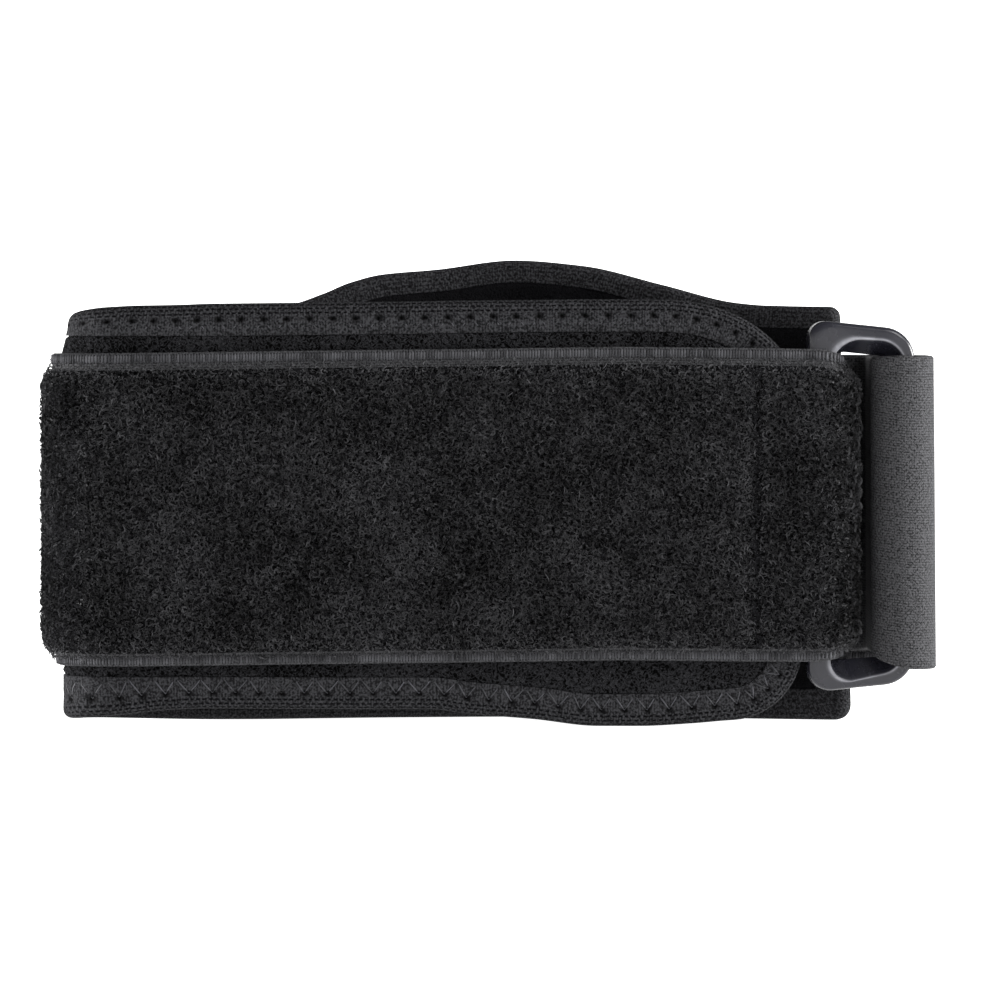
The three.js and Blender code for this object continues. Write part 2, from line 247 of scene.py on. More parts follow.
# Section of its bar: from the rim (0) out to the outer line (1) or in to the inner one (-1), mm towards
# the front, and corner radius. The face is nearly flat and the inner side slopes back from the rim.
BAR_SPAN = 2.2
RING_SECTION = [(1.0, 1.6, 0.9), (0.0, 1.9, 0.35), (-1.0, -0.9, 0.4), (-0.7, -1.9, 0.5), (1.0, -1.9, 0.7)]
# Width of the band of painted highlight along the ridge of the ring's bar.
PAINTED_HIGHLIGHT_WIDTH = 0.13
LEFT_BAR = np.array((53.5, 0.0))
RIGHT_BAR = np.array((66.85, 2.0))
BAR_BACK = RING_HALF_DEPTH + GAP + PILE_AT_BAR + STRAP_BASE

# Refractive indices, and the size of the patches in which a pile or a yarn is a little lighter or darker.
NYLON = 1.53
POLYESTER = 1.57
ACETAL = 1.48
PAPER = 1.5
DRIFT = 11

# Scale times period of a band of the Wave texture.
WAVE = math.pi / 10

# Napped cloths: dark and light tone, size and depth of a tuft, drawn as coarse as it needs to be to show,
# then roughness and specular level.
NAPPED = {
    # Warp-knit nylon, brushed: matt black with fine lighter fibre ends.
    "nylon_brushed_cloth": ("#020202", "#29292b", 0.5, 0.35, 0.9, 0.02),
    # Plain knit nylon lining: smooth and nearly black.
    "nylon_knit_lining": ("#020203", "#09090b", 0.4, 0.1, 0.85, 0.05),
    # Ground of the loop pile, seen only between its loops: nearly black.
    "nylon_pile_ground": ("#030303", "#252527", 0.5, 0.3, 0.95, 0.01),
    # Hook tape: stubbly woven nylon, dull dark grey.
    "nylon_hook_tape": ("#1c1c1e", "#3d3d40", 0.5, 0.2, 0.7, 0.5),
}

# Yarns and fibres: dark and light tone, roughness, refractive index and specular level.
YARNS = {
    # Crimped nylon loops: black, with single fibres that catch the light.
    "nylon_loop_pile": ("#0a0a0a", "#3f3f41", 0.55, NYLON, 0.15),
    # Bare woven edge: tight ribs of filament yarn, greyer than the pile.
    "nylon_selvage_yarn": ("#222224", "#48484b", 0.65, NYLON, 0.1),
    # Twisted polyester thread: a soft gleam along each stitch.
    "polyester_sewing_thread": ("#1a1a1c", "#3e3e43", 0.45, POLYESTER, 0.25),
}

# From the drawing's origin to the frame's: the strap's right end and the cuff's front face fix it.
SHIFT = np.array((
    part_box("loop_strap")[1][0] - (RIGHT_BAR[0] + BAR_BACK) * MM,
    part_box("edge_binding")[0][1] + PAD / 2 * MM,
    0,
))


def smoothstep(x, low, high):
    t = np.clip((x - low) / (high - low), 0, 1)
    return t * t * (3 - 2 * t)


def bump(distance, size):
    return np.exp(-0.5 * (distance / size) ** 2)


def wobble(seed, size, *axes):
    """A smooth random field, about 1 either way, with bumps of about the given size."""
    draw = np.random.default_rng(seed)
    waves = 12
    total = 0
    for _ in range(waves):
        way = unit(draw.normal(size=len(axes)))
        period = size * draw.uniform(1.4, 2.8)
        phase = draw.uniform(0, 2 * math.pi)
        total = total + np.sin(2 * math.pi * sum(w * a for w, a in zip(way, axes)) / period + phase)
    return total / math.sqrt(waves)


def lengths(points):
    """Distance along a polyline, at each of its points."""
    return np.concatenate([[0], np.cumsum(np.linalg.norm(np.diff(points, axis=0), axis=1))])


def resampled(at, known, columns):
    return np.stack([np.interp(at, known, column) for column in columns.T], -1)


def unit(vectors):
    return vectors / np.linalg.norm(vectors, axis=-1, keepdims=True)


def smooth_rows(rows, at):
    """Columns of a table at values of its first column, smooth and never past the rows beside them."""
    table = np.array(rows, float)
    x, y = table[:, 0], table[:, 1:]
    rise = np.diff(y, axis=0) / np.diff(x)[:, None]
    before, after = rise[:-1], rise[1:]
    same = before * after > 0
    slope = np.zeros_like(y)
    slope[1:-1][same] = 2 * before[same] * after[same] / (before + after)[same]
    k = np.clip(np.searchsorted(x, at, side="right"), 1, len(x) - 1)
    span = (x[k] - x[k - 1])[..., None]
    t = np.clip((at - x[k - 1])[..., None] / span, 0, 1)
    start = y[k - 1] * (1 + 2 * t) + slope[k - 1] * span * t
    end = y[k] * (3 - 2 * t) + slope[k] * span * (t - 1)
    return start * (1 - t) ** 2 + end * t**2


def arc(centre, radius, start, stop, steps):
    a = np.radians(np.linspace(start, stop, steps))
    return np.array(centre) + radius * np.stack([np.cos(a), np.sin(a)], -1)


def rounded_polygon(corners, corner_steps, side_steps):
    """Points round a polygon of x, y, radius corners, as many for any polygon of as many corners."""
    places = np.array(corners)[:, :2]
    turns = []
    for k, (here, (*_, radius)) in enumerate(zip(places, corners)):
        to_last = unit(places[k - 1] - here)
        to_next = unit(places[(k + 1) % len(places)] - here)
        half = math.acos(to_last @ to_next) / 2
        centre = here + unit(to_last + to_next) * radius / math.sin(half)
        first = here + to_last * radius / math.tan(half) - centre
        begin = math.degrees(math.atan2(first[1], first[0]))
        sense = to_last[1] * to_next[0] - to_last[0] * to_next[1]
        stop = begin + math.copysign(180 - math.degrees(2 * half), sense)
        turns.append(arc(centre, radius, begin, stop, corner_steps))
    points = []
    for turn, following in zip(turns, turns[1:] + turns[:1]):
        points += [turn, np.linspace(turn[-1], following[0], side_steps + 2)[1:-1]]
    return np.vstack(points)


# Plan and outline of the cuff.


def curve_through(points, steps=60):
    """Uniform Catmull-Rom curve, as the CAD model draws the rear."""
    p = np.array(points, float)
    p = np.vstack([p[:1], p, p[-1:]])
    t = np.linspace(0, 1, steps, endpoint=False)[:, None]
    spans = []
    for a, b, c, d in zip(p, p[1:], p[2:], p[3:]):
        leave, arrive = (c - a) / 2, (d - b) / 2
        spans.append(
            b + leave * t + (3 * (c - b) - 2 * leave - arrive) * t**2 + (2 * (b - c) + leave + arrive) * t**3
        )
    return np.vstack([*spans, p[-1:]])


def plan_line():
    front = np.linspace((FRONT_END, 0), (FOLD_AT, 0), 400)
    fold = arc((FOLD_AT, FOLD_RADIUS), FOLD_RADIUS, -90, FOLD_LEAVES - 360, 120)
    rear = curve_through([fold[-1], *REAR_PLAN])
    return np.vstack([front, fold[1:], rear[1:]])


PLAN = plan_line()
ALONG = lengths(PLAN)
LENGTH = ALONG[-1]
HEADING = unit(np.gradient(PLAN, ALONG, axis=0))
FOLD_FROM = FRONT_END - FOLD_AT
FOLD_TO = FOLD_FROM + FOLD_RADIUS * math.radians(270 - FOLD_LEAVES)


def plan_at(along):
    """Place and outward normal of the pad's middle, with straight run-outs past both ends."""
    along = np.asarray(along, float)
    on = np.clip(along, 0, LENGTH)
    heading = unit(resampled(on, ALONG, HEADING))
    place = resampled(on, ALONG, PLAN) + heading * (along - on)[..., None]
    return place, np.stack([-heading[..., 1], heading[..., 0]], -1)


def on_pad(along, height, off):
    """From the unrolled sheet to its place round the arm."""
    near = smoothstep(along, LENGTH - REAR_LEAN_FROM, LENGTH)
    place, out = plan_at(along - REAR_LEAN * near * (height / REAR_MIDDLE - 1))
    high = np.maximum(0, (height - TUCK_FROM) / (OUTLINE[0][1] - TUCK_FROM))
    tuck = FOLD_TUCK * high * (1 - smoothstep(place[..., 0], FOLD_AT - FOLD_RADIUS, TUCK_TO))
    return np.stack([place[..., 0] + out[..., 0] * off + tuck, place[..., 1] + out[..., 1] * off, height], -1)


def corner_cut(distance, corner):
    along, up = corner
    return up * (1 - np.sqrt(1 - np.clip((along - distance) / along, 0, 1) ** 2))


def edges_at(along):
    top, bottom = smooth_rows(OUTLINE, along).T
    left = LENGTH - along
    top = top - corner_cut(along, FRONT_TOP_CORNER) - corner_cut(left, REAR_TOP_CORNER)
    bottom = bottom + corner_cut(along, FRONT_BOTTOM_CORNER) + corner_cut(left, REAR_BOTTOM_CORNER)
    return top, bottom


def stations(step):
    """Places along the cuff, closer together at its rounded ends."""
    reach, rear = FRONT_TOP_CORNER[0], REAR_BOTTOM_CORNER[0]
    front = reach * (1 - np.cos(np.radians(np.arange(0, 90, 3))))
    middle = np.linspace(reach, LENGTH - 2 * rear, round((LENGTH - reach) / step))
    lead_in = [1.7, 1.35]
    turn = 1 - np.cos(np.radians(np.arange(90, -1, -15)))
    return np.concatenate([front, middle, LENGTH - rear * np.concatenate([lead_in, turn])])


def outline_loop(along):
    """The outline: top to the rear, down the rear end, bottom to the front, up the front end."""
    top, bottom = edges_at(along)
    upper, lower = np.stack([along, top], -1), np.stack([along, bottom], -1)
    steps = np.linspace(0, 1, END_STEPS + 2)[1:-1, None]
    rear = upper[-1] + (lower[-1] - upper[-1]) * steps
    front = lower[0] + (upper[0] - lower[0]) * steps
    return np.vstack([upper, rear, lower[::-1], front])


def tape_spread(along, height):
    """How much wider the tape is beside the fold, where its inner edge runs straight on."""
    edges, straight = smooth_rows(OUTLINE, along), smooth_rows(OUTLINE, np.array(STRAIGHT_FROM))
    wider = np.where(height > STRAP_MIDDLE, edges[..., 0] - straight[0], straight[1] - edges[..., 1])
    return wider * (along > STRAIGHT_FROM) * (1 - smoothstep(along, FOLD_TO, FOLD_TO + STRAIGHT_FADE))


def lining_spread(along, height):
    """How much wider the tape is on the inside, low at the rear end."""
    start, full = (LENGTH - before for before in REAR_WIDER_FROM)
    return REAR_WIDER * (1 - smoothstep(height, *REAR_WIDER_BELOW)) * smoothstep(along, start, full)


def inward_normals(loop):
    way = unit(np.roll(loop, -1, axis=0) - np.roll(loop, 1, axis=0))
    return np.stack([way[:, 1], -way[:, 0]], -1)


def inset(loop, normals, by):
    """The outline moved inward; past the radius of the rear corners it meets in a mitre."""
    by = np.broadcast_to(by, len(loop))
    moved = loop + normals * by[:, None]
    mitred = (by > REAR_BOTTOM_CORNER[0]) & (loop[:, 0] > LENGTH - by)
    moved[:, 0] = np.where(mitred, LENGTH - by, moved[:, 0])
    top, bottom = smooth_rows(OUTLINE, moved[:, 0]).T
    moved[:, 1] = np.clip(moved[:, 1], bottom + by, top - by)
    return moved


# Meshes.


def put(name, data):
    obj = bpy.data.objects.new(name, data)
    bpy.context.scene.collection.objects.link(obj)
    return obj


def plain_mesh(name, points, faces=()):
    """A mesh of points in millimetres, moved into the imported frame."""
    mesh = bpy.data.meshes.new(name)
    mesh.from_pydata((points.reshape(-1, 3) * MM + SHIFT).tolist(), [], np.asarray(faces).tolist())
    return mesh


def mark(mesh, name, values, kind="FLOAT", field="value"):
    """Stores a number or a vector at each point of a mesh."""
    attribute = mesh.attributes.new(name, kind, "POINT")
    attribute.data.foreach_set(field, np.ravel(values).astype(np.float32))


def quad_piece(name, points, quads, corners, material, marks):
    """A smooth mesh of quads, with a map called cloth, in millimetres."""
    mesh = plain_mesh(name, points, quads)
    layer = mesh.uv_layers.new(name="cloth")
    layer.data.foreach_set("uv", corners.astype(np.float32).ravel())
    for label, values in marks.items():
        mark(mesh, label, values)
    merged = bmesh.new()
    merged.from_mesh(mesh)
    bmesh.ops.remove_doubles(merged, verts=merged.verts, dist=1e-6)
    bmesh.ops.recalc_face_normals(merged, faces=merged.faces)
    for face in merged.faces:
        face.smooth = True
    merged.to_mesh(mesh)
    merged.free()
    mesh.materials.append(material)
    return put(name, mesh)


def second_material(piece, material, faces):
    """Gives some of a piece's faces a material of their own."""
    piece.data.materials.append(material)
    for k in faces:
        piece.data.polygons[k].material_index = 1


def grid_quads(rows, columns, wrap=False):
    """Corner indices of a grid's quads, round in both directions if it wraps, and their plain steps."""
    less = 0 if wrap else 1
    i, j = np.meshgrid(np.arange(rows - less), np.arange(columns - less), indexing="ij")
    steps = np.stack([np.stack([i + a, j + b], -1) for a, b in ((0, 0), (1, 0), (1, 1), (0, 1))], -2)
    steps = steps.reshape(-1, 4, 2)
    return (steps[..., 0] % rows) * columns + steps[..., 1] % columns, steps


def swept(name, points, along, across, material, marks):
    """A closed sweep: a grid of points that meets itself both ways."""
    quads, steps = grid_quads(*points.shape[:2], wrap=True)
    corners = np.stack([along[steps[..., 0]], across[steps[..., 1]]], -1)
    return quad_piece(name, points, quads, corners, material, marks)


def slab(name, upper, lower, flat, material):
    """A closed slab between two grids of points that share a map."""
    rows, columns = upper.shape[:2]
    count = rows * columns
    quads, _ = grid_quads(rows, columns)
    index = np.arange(count).reshape(rows, columns)
    rim = np.concatenate([index[:-1, 0], index[-1, :-1], index[:0:-1, -1], index[0, :0:-1]])
    following = np.roll(rim, -1)
    walls = np.stack([rim, following, following + count, rim + count], -1)
    faces = np.vstack([quads, quads[:, ::-1] + count, walls])
    maps = np.tile(flat.reshape(-1, 2), (2, 1))
    return quad_piece(name, np.stack([upper, lower]), faces, maps[faces], material, {})


# Nodes.


def node(tree, kind, inputs=(), output=0, **settings):
    """Adds a node with its settings, and values or links for inputs by name or in order; gives an output."""
    made = tree.nodes.new(kind)
    for name, value in settings.items():
        setattr(made, name, value)
    for key, value in inputs.items() if isinstance(inputs, dict) else enumerate(inputs):
        if isinstance(value, bpy.types.NodeSocket):
            tree.links.new(value, made.inputs[key])
        else:
            made.inputs[key].default_value = value
    return made.outputs[output] if made.outputs else made


def linear(code):
    """An sRGB hex colour as linear RGBA."""
    parts = [int(code[i:i + 2], 16) / 255 for i in (1, 3, 5)]
    return [c / 12.92 if c <= 0.04045 else ((c + 0.055) / 1.055) ** 2.4 for c in parts] + [1]


def surface(name, roughness, ior, specular=0.5, glow=0.0):
    """A material with plain values on its shader's own sockets, its tree and its Object coordinates."""
    material = bpy.data.materials.new(name)
    material.use_nodes = True
    tree = material.node_tree
    values = {"Roughness": roughness, "IOR": ior, "Specular IOR Level": specular, "Emission Strength": glow}
    for key, value in values.items():
        tree.nodes["Principled BSDF"].inputs[key].default_value = value
    return material, tree, node(tree, "ShaderNodeTexCoord", output=3)


def finished(material, tone, dark, light, height=None, depth=0, strength=0.8, **sockets):
    """The material, coloured from dark to light by a tone, with relief of a depth in millimetres."""
    tree = material.node_tree
    sockets["Base Color"] = node(tree, "ShaderNodeMix", {0: tone, 6: dark, 7: light}, 2, data_type="RGBA")
    if height is not None:
        inputs = {"Height": height, "Strength": strength, "Distance": depth * MM}
        sockets["Normal"] = node(tree, "ShaderNodeBump", inputs)
    for key, value in sockets.items():
        tree.links.new(value, tree.nodes["Principled BSDF"].inputs[key])
    return material


def per_metre(size):
    """Scale of a pattern on Object coordinates whose features measure a size in millimetres."""
    return 1 / (size * MM)


def napped_cloth(name):
    """Tangled fibres of one size over dark gaps, mottled by a slower drift of the brushing."""
    dark, light, tuft, depth, roughness, specular = NAPPED[name]
    material, tree, place = surface(name, roughness, NYLON, specular)
    tufts = node(tree, "ShaderNodeTexNoise",
                 {"Vector": place, "Scale": per_metre(tuft), "Detail": 2, "Offset": 1.0, "Distortion": 0.6},
                 noise_type="RIDGED_MULTIFRACTAL")
    drift = node(tree, "ShaderNodeTexNoise", {"Vector": place, "Scale": per_metre(DRIFT), "Detail": 2})
    mixed = node(tree, "ShaderNodeMath", [drift, tufts], operation="ADD")
    ramp = node(tree, "ShaderNodeMapRange", {"Value": mixed, "From Min": 0.95, "From Max": 1.95})
    return finished(material, ramp, linear(dark), linear(light), tufts, depth)


def yarn(name):
    """Yarn or fibre whose lightness differs from one loop, rib or stitch to the next, and drifts slowly."""
    dark, light, *values = YARNS[name]
    material, tree, place = surface(name, *values)
    shade = node(tree, "ShaderNodeAttribute", output=2, attribute_name="shade")
    drift = node(tree, "ShaderNodeTexNoise", {"Vector": place, "Scale": per_metre(DRIFT), "Detail": 2})
    mixed = node(tree, "ShaderNodeMath", [drift, 1.8, shade], operation="MULTIPLY_ADD")
    tone = node(tree, "ShaderNodeMapRange", {"Value": mixed, "From Min": 0.75, "From Max": 2.1})
    return finished(material, tone, linear(dark), linear(light))


def polyester_mesh_tape():
    # Knitted polyester tape: a net of small dark holes along its fold, close ribbed knit beside it.
    material, tree, place = surface("polyester_mesh_tape", 0.75, POLYESTER, 0.02)
    flat = node(tree, "ShaderNodeUVMap", uv_map="cloth")
    sway = node(tree, "ShaderNodeTexNoise", {"Vector": place, "Scale": per_metre(0.8), "Detail": 1}, 1)
    loose = node(tree, "ShaderNodeVectorMath", [sway, (0.35, 0.12, 0), flat], operation="MULTIPLY_ADD")
    yarns = node(tree, "ShaderNodeTexBrick",
                 {"Vector": loose, "Scale": 1.0, "Mortar Size": 0.33, "Mortar Smooth": 0.7,
                  "Brick Width": NET_PITCH, "Row Height": NET_ROW}, 1)
    in_net, whole = (node(tree, "ShaderNodeAttribute", output=2, attribute_name=name)
                     for name in ("net", "whole"))
    knitted = node(tree, "ShaderNodeMix", {0: in_net, 2: 1.0, 3: yarns})
    cover = node(tree, "ShaderNodeMath", [knitted, whole], operation="MULTIPLY")
    wales = node(tree, "ShaderNodeTexWave", {"Vector": flat, "Scale": WAVE / WALE, "Distortion": 1.0}, 1)
    grain = node(tree, "ShaderNodeTexNoise", {"Vector": place, "Scale": per_metre(0.35), "Detail": 3})
    mixed = node(tree, "ShaderNodeMath", [wales, 0.08, grain], operation="MULTIPLY_ADD")
    tone = node(tree, "ShaderNodeMapRange", {"Value": mixed, "From Min": 0.43, "From Max": 0.66})
    colour = linear("#323234")
    for share, below in ((tone, "#121213"), (knitted, "#030304")):
        colour = node(tree, "ShaderNodeMix", {0: share, 6: linear(below), 7: colour}, 2, data_type="RGBA")
    height = node(tree, "ShaderNodeMath", [mixed, 0.7, cover], operation="MULTIPLY_ADD")
    return finished(material, whole, linear("#010101"), colour, height, 0.16)


def nylon_woven_webbing():
    # Close plain weave of filament nylon: fine grey grain in short floats.
    material, tree, place = surface("nylon_woven_webbing", 0.7, NYLON, 0.1)
    flat = node(tree, "ShaderNodeUVMap", uv_map="cloth")
    gaps = node(tree, "ShaderNodeTexBrick",
                {"Vector": flat, "Scale": 1.0, "Mortar Size": 0.16, "Mortar Smooth": 1.0,
                 "Brick Width": 2 * WEFT, "Row Height": WEFT}, 1)
    grain = node(tree, "ShaderNodeTexNoise", {"Vector": place, "Scale": per_metre(0.28), "Detail": 2})
    mixed = node(tree, "ShaderNodeMath", [gaps, -0.16, grain], operation="MULTIPLY_ADD")
    tone = node(tree, "ShaderNodeMapRange", {"Value": mixed, "From Min": 0.24, "From Max": 0.56})
    return finished(material, tone, linear("#0e0e0f"), linear("#404042"), mixed, 0.2)


def acetal_moulded_ring():
    # Moulded acetal: glossy black with a faint flow, and a painted highlight in light grey along its inner
    # rim.
    glossy, dull = 0.2, 0.34
    material, tree, place = surface("acetal_moulded_ring", glossy, ACETAL, 0.4)
    flow = node(tree, "ShaderNodeTexNoise", {"Vector": place, "Scale": per_metre(3), "Detail": 3})
    # Painted highlight: the rim mark mixes light grey into the colour along the inner rim, broken up by the
    # flow.
    rim = node(tree, "ShaderNodeAttribute", output=2, attribute_name="rim")
    painted_highlight = node(tree, "ShaderNodeMath", [rim, flow], operation="MULTIPLY")
    rough = node(tree, "ShaderNodeMapRange", {"Value": flow, "To Min": glossy, "To Max": dull})
    black, grey = linear("#1a1a20"), linear("#96969c")
    return finished(material, painted_highlight, black, grey, flow, 0.1, strength=0.2, Roughness=rough)


# Growing trees.


def new_tree(name, *sizes):
    """A tree with named inputs for its sizes, its seed and its material."""
    tree = bpy.data.node_groups.new(name, "GeometryNodeTree")
    inputs = {"Geometry": "Geometry", **dict.fromkeys(sizes, "Float"), "Seed": "Int", "Material": "Material"}
    for label, kind in inputs.items():
        tree.interface.new_socket(label, in_out="INPUT", socket_type="NodeSocket" + kind)
    tree.interface.new_socket("Geometry", in_out="OUTPUT", socket_type="NodeSocketGeometry")
    return tree, tree.nodes.new("NodeGroupInput").outputs


def close_tree(tree, given, instances, lighter=0.0):
    """Stores each instance's shade, then makes the instances real, with their material."""
    seed = given["Seed"]
    chance = node(tree, "FunctionNodeRandomValue", {2: 0.0, 3: 1.0, "Seed": seed}, 1, data_type="FLOAT")
    shade = node(tree, "ShaderNodeMath", [chance, lighter], operation="ADD")
    stored = node(tree, "GeometryNodeStoreNamedAttribute",
                  {"Geometry": instances, "Name": "shade", "Value": shade},
                  data_type="FLOAT", domain="INSTANCE")
    real = node(tree, "GeometryNodeRealizeInstances", {"Geometry": stored})
    painted = node(tree, "GeometryNodeSetMaterial", {"Geometry": real, "Material": given["Material"]})
    node(tree, "NodeGroupOutput", {"Geometry": painted})


def laid_tree(title, shape):
    """One shape on each point of a carrier, along the point's run and up its normal."""
    tree, given = new_tree(title, "Thickness", "Rise")
    run, up = (node(tree, "GeometryNodeInputNamedAttribute", {"Name": name}, data_type="FLOAT_VECTOR")
               for name in ("run", "up"))
    turn = node(tree, "FunctionNodeAxesToRotation", [run, up], primary_axis="X", secondary_axis="Z")
    length = node(tree, "ShaderNodeVectorMath", [run], 1, operation="LENGTH")
    size = node(tree, "ShaderNodeCombineXYZ", [length, 1.0, 1.0])
    points = node(tree, "GeometryNodeMeshToPoints", {"Mesh": given["Geometry"]})
    placed = node(tree, "GeometryNodeInstanceOnPoints",
                  {"Points": points, "Instance": shape(tree, given), "Rotation": turn, "Scale": size})
    close_tree(tree, given, placed)
    return tree


def thread_stitch(tree, given):
    """A thread of unit length that dips into the cloth at both ends."""
    start, end = ((x, 0, -THREAD_DIP * MM) for x in (-0.5, 0.5))
    peak = node(tree, "ShaderNodeCombineXYZ", {2: given["Rise"]})
    line = node(tree, "GeometryNodeCurveQuadraticBezier",
                {"Resolution": 6, "Start": start, "Middle": peak, "End": end})
    section = node(tree, "GeometryNodeCurvePrimitiveCircle", {"Resolution": 6, "Radius": given["Thickness"]})
    return node(tree, "GeometryNodeCurveToMesh", {"Curve": line, "Profile Curve": section, "Fill Caps": True})


def yarn_rib(tree, given):
    """A rib of unit length: a flattened bead."""
    bead = node(tree, "GeometryNodeMeshUVSphere", {"Segments": 6, "Rings": 3, "Radius": 0.5})
    size = node(tree, "ShaderNodeCombineXYZ", [1.0, given["Thickness"], given["Rise"]])
    return node(tree, "GeometryNodeTransform", {"Geometry": bead, "Scale": size})


def pile_tree():
    """Curls of fibre scattered over a carrier, tilted at random and scaled by its lift."""
    tree, given = new_tree("loop_pile", "Density", "Spacing", "Curl", "Thickness")
    seed = given["Seed"]
    lift = node(tree, "GeometryNodeInputNamedAttribute", {"Name": "lift"}, data_type="FLOAT")
    spread = node(tree, "GeometryNodeDistributePointsOnFaces",
                  {"Mesh": given["Geometry"], "Distance Min": given["Spacing"],
                   "Density Max": given["Density"], "Density Factor": lift, "Seed": seed},
                  distribute_method="POISSON").node.outputs
    line = node(tree, "GeometryNodeCurvePrimitiveLine", {"Start": (0.5, 0.5, 0), "End": (-0.5, -0.5, 0)})
    section = node(tree, "GeometryNodeTransform", {"Geometry": line, "Scale": given["Thickness"]})
    shapes = tree.nodes.new("GeometryNodeGeometryToInstance")
    for sweep, radius in CURL_SHAPES:
        size = node(tree, "ShaderNodeMath", [given["Curl"], radius], operation="MULTIPLY")
        curve = node(tree, "GeometryNodeCurveArc", {"Resolution": 4, "Radius": size, "Sweep Angle": sweep})
        ribbon = node(tree, "GeometryNodeCurveToMesh", {"Curve": curve, "Profile Curve": section})
        tree.links.new(ribbon, shapes.inputs[0])
    least, most = (-CURL_TILT, -CURL_TILT, 0.0), (CURL_TILT, CURL_TILT, 2 * math.pi)
    tilt = node(tree, "FunctionNodeRandomValue", {0: least, 1: most, "Seed": seed}, data_type="FLOAT_VECTOR")
    tilted = node(tree, "FunctionNodeEulerToRotation", [tilt])
    turn = node(tree, "FunctionNodeRotateRotation", [spread["Rotation"], tilted], rotation_space="LOCAL")
    small, big = CURL_GROWTH
    growth = node(tree, "FunctionNodeRandomValue", {2: small, 3: big, "Seed": seed}, 1, data_type="FLOAT")
    height = node(tree, "ShaderNodeMath", [lift, 1 - CURL_LEAST, CURL_LEAST], operation="MULTIPLY_ADD")
    size = node(tree, "ShaderNodeMath", [height, growth], operation="MULTIPLY")
    placed = node(tree, "GeometryNodeInstanceOnPoints",
                  {"Points": spread["Points"], "Instance": shapes.outputs[0], "Pick Instance": True,
                   "Rotation": turn, "Scale": size})
    lighter = node(tree, "ShaderNodeMath", [lift, -THIN_LIGHTER, THIN_LIGHTER], operation="MULTIPLY_ADD")
    close_tree(tree, given, placed, lighter)
    return tree


def grown(name, carrier, tree, values):
    """The plain mesh that a tree grows on a carrier, which goes."""
    modifier = carrier.modifiers.new("grow", "NODES")
    modifier.node_group = tree
    for item in tree.interface.items_tree:
        if item.name in values:
            modifier[item.identifier] = values[item.name]
    depsgraph = bpy.context.evaluated_depsgraph_get()
    mesh = bpy.data.meshes.new_from_object(
        carrier.evaluated_get(depsgraph), preserve_all_data_layers=True, depsgraph=depsgraph)
    carrier.modifiers.remove(modifier)
    bpy.data.objects.remove(carrier)
    mesh.name = name
    for face in mesh.polygons:
        face.use_smooth = True
    return put(name, mesh)


def points_carrier(places, runs, ups):
    """Loose points, each with the way and length of what is laid on it."""
    mesh = plain_mesh("carrier", places)
    for label, vectors in (("run", runs * MM), ("up", ups)):
        mark(mesh, label, vectors, "FLOAT_VECTOR", "vector")
    return put("carrier", mesh)


def patch_carrier(points, lift):
    """A patch of cloth for a pile to grow on, with the pile's height at each point."""
    quads, _ = grid_quads(*points.shape[:2])
    mesh = plain_mesh("carrier", points, quads)
    mark(mesh, "lift", lift)
    return put("carrier", mesh)


# Pad.


def pad_half(distance, reach):
    """Half the pad's thickness at a distance from the outline."""
    pressed = PAD_PRESSED / 2
    return pressed + (PAD / 2 - pressed) * smoothstep(distance, reach - PAD_RAMP / 2, reach + PAD_RAMP / 2)


def body_pad(cloth, lining):
    stops = stations(PAD_STEP)
    count = len(stops)
    loop = outline_loop(stops)
    edge = inset(loop, inward_normals(loop), PAD_EDGE)
    lower = len(loop) - END_STEPS
    top, bottom = edge[:count], edge[lower - count:lower][::-1]
    rim = np.array([0, 0.15, 0.35, 0.6, 1.4, 2.1, 2.55, 2.7, 2.85, 3.5, 4.15, 4.3, 4.45, 5, 5.8, 7])
    long = np.linalg.norm(top - bottom, axis=1)[:, None]
    middle = rim[-1] + (long - 2 * rim[-1]) * np.linspace(0, 1, PAD_COLUMNS)[1:-1]
    depth = np.concatenate([np.broadcast_to(rim, (count, len(rim))), middle, long - rim[::-1]], axis=1)
    spot = top[:, None] + (bottom - top)[:, None] * (depth / long)[..., None]
    along, height = spot[..., 0], spot[..., 1]
    dense = outline_loop(stations(OUTLINE_STEP))
    outline = KDTree(len(dense))
    for k, place in enumerate(dense):
        outline.insert((*place, 0), k)
    outline.balance()
    near = np.array([outline.find((*place, 0))[2] for place in spot.reshape(-1, 2)]).reshape(depth.shape)
    cut = PAD_CUT * np.clip(1 - np.minimum(depth, long - depth) / PAD_CUT_WIDTH, 0, 1)
    round_fold = bump(along - (FOLD_FROM + FOLD_TO) / 2, EDGE_DRAWN_WIDTH)
    under_strap = smoothstep(STRAP_WIDTH / 2 - np.abs(height - STRAP_MIDDLE), *UNDER_STRAP)
    reaches = TAPE_OUT + tape_spread(along, height), TAPE_IN + lining_spread(along, height)
    faces = []
    for side, reach, seed in zip((1, -1), reaches, (3, 4)):
        rises = smoothstep(near, reach, reach + PAD_WAVE_FROM)
        wave = PAD_WAVE * wobble(seed, PAD_WAVE_SIZE, along, height) * rises
        drawn = EDGE_DRAWN * (round_fold * (side > 0)) * under_strap
        faces.append(on_pad(along, height, side * (pad_half(near, reach) + wave - cut - drawn)))
    pad = slab("pad", *faces, spot, cloth)
    outer_faces = (count - 1) * (depth.shape[1] - 1)
    second_material(pad, lining, range(outer_faces, 2 * outer_faces))
    return pad


# Edge tape and its zigzag seam.


def tape_loop():
    dense = outline_loop(stations(OUTLINE_STEP))
    closed = np.vstack([dense, dense[:1]])
    known = lengths(closed)
    zigzags = round(known[-1] / ZIGZAG_PITCH)
    at = np.linspace(0, known[-1], zigzags * TAPE_STEPS, endpoint=False)
    return resampled(at, known, closed), at, known[-1], zigzags


